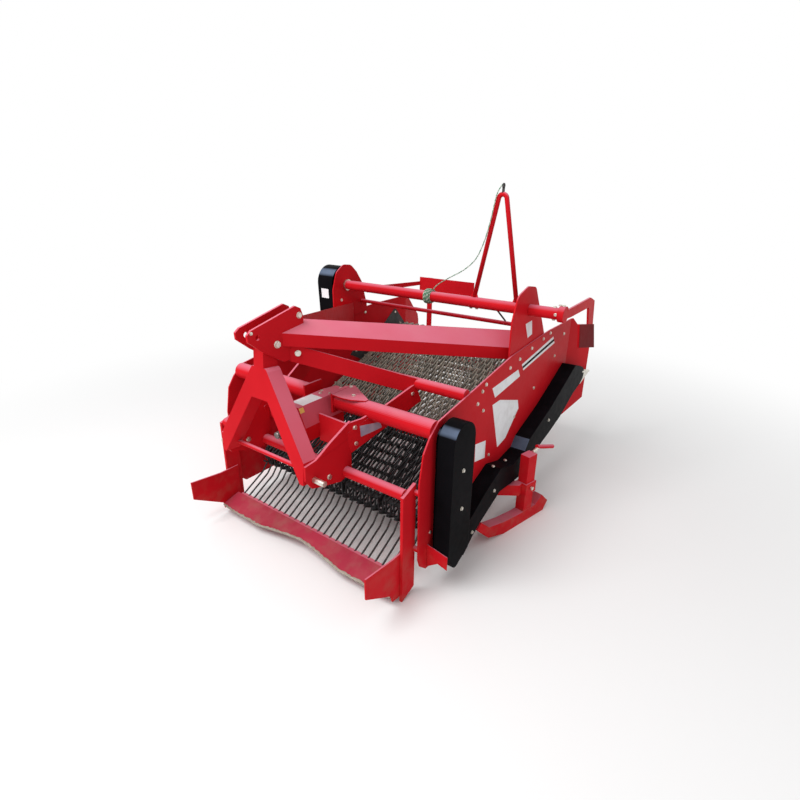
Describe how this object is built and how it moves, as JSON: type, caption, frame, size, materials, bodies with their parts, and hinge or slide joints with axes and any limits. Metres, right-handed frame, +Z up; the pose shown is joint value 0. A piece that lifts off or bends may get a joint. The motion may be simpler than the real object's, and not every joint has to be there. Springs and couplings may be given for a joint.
{
  "type": "tractor-mounted potato harvester",
  "caption": "Three-point mounted potato digger: digging blade, sieve rods and two rising webs between side plates, with a shaft-driven gearbox, chain cases, rope lever and skids.",
  "frame": {"origin": "bottom centre of the bounding box, on the floor under the middle of the machine", "axes": "+X is the machine's left, +Y its rear, +Z up; the blade digs towards -Y"},
  "size_m": [1.8174, 2.443, 1.873],
  "materials": {
    "red_paint": "gloss",
    "black_paint": "satin",
    "bare_steel": "worn",
    "web_black": "matt",
    "web_soiled": "soil stained",
    "zinc": "zinc plated",
    "rope": "woven"
  },
  "bodies": {
    "machine": {"axle_tube": "red_paint", "belly_tube": "red_paint", "blade_posts": "red_paint", "chain_case_front": "black_paint", "chain_case_rear": "black_paint", "chain_case_right": "black_paint", "deflector_board": "red_paint", "digging_blade": "red_paint", "ear_left": "red_paint", "ear_right": "red_paint", "ear_rod": "red_paint", "frame_plate_left": "red_paint", "frame_plate_right": "red_paint", "front_cross_tube": "red_paint", "front_web": "web_black", "front_web_rollers": "bare_steel", "gearbox": "red_paint", "lower_braces": "red_paint", "lower_hitch_pins": "zinc", "main_brace_left": "red_paint", "main_brace_right": "red_paint", "mast": "red_paint", "rear_cross_tube": "red_paint", "rear_web": "web_soiled", "rear_web_rollers": "bare_steel", "side_plate_left": "red_paint", "side_plate_right": "red_paint", "sieve_rods": "bare_steel", "skid_brackets": "red_paint", "tail_tube": "red_paint", "toplink_plate_left": "red_paint", "toplink_plate_right": "red_paint", "upper_cross_tube": "red_paint", "wing_left": "red_paint", "wing_right": "red_paint"},
    "pto_input": {"pto_shaft": "bare_steel"},
    "gate_lever": {"pivot_tube": "red_paint", "a_lever": "red_paint", "lever_arm": "red_paint", "pull_rope": "rope", "rope_wrap": "rope"},
    "left_skid": {"skid_left": "red_paint"},
    "right_skid": {"skid_right": "red_paint"}
  },
  "joints": [
    {"name": "pto_spin", "type": "hinge", "parent": "machine", "child": "pto_input", "pos_m": [0, -1.0385, 0.742], "axis": [0, 1, 0], "continuous": true},
    {"name": "gate_lever_swing", "type": "hinge", "parent": "machine", "child": "gate_lever", "pos_m": [0, 0.2025, 1.221], "axis": [1, 0, 0], "range_deg": [0, 50]},
    {"name": "left_skid_height", "type": "slide", "parent": "machine", "child": "left_skid", "axis": [0, 0, 1], "range_m": [-0.06, 0.035]},
    {"name": "right_skid_height", "type": "slide", "parent": "machine", "child": "right_skid", "axis": [0, 0, 1], "range_m": [-0.06, 0.035]}
  ]
}
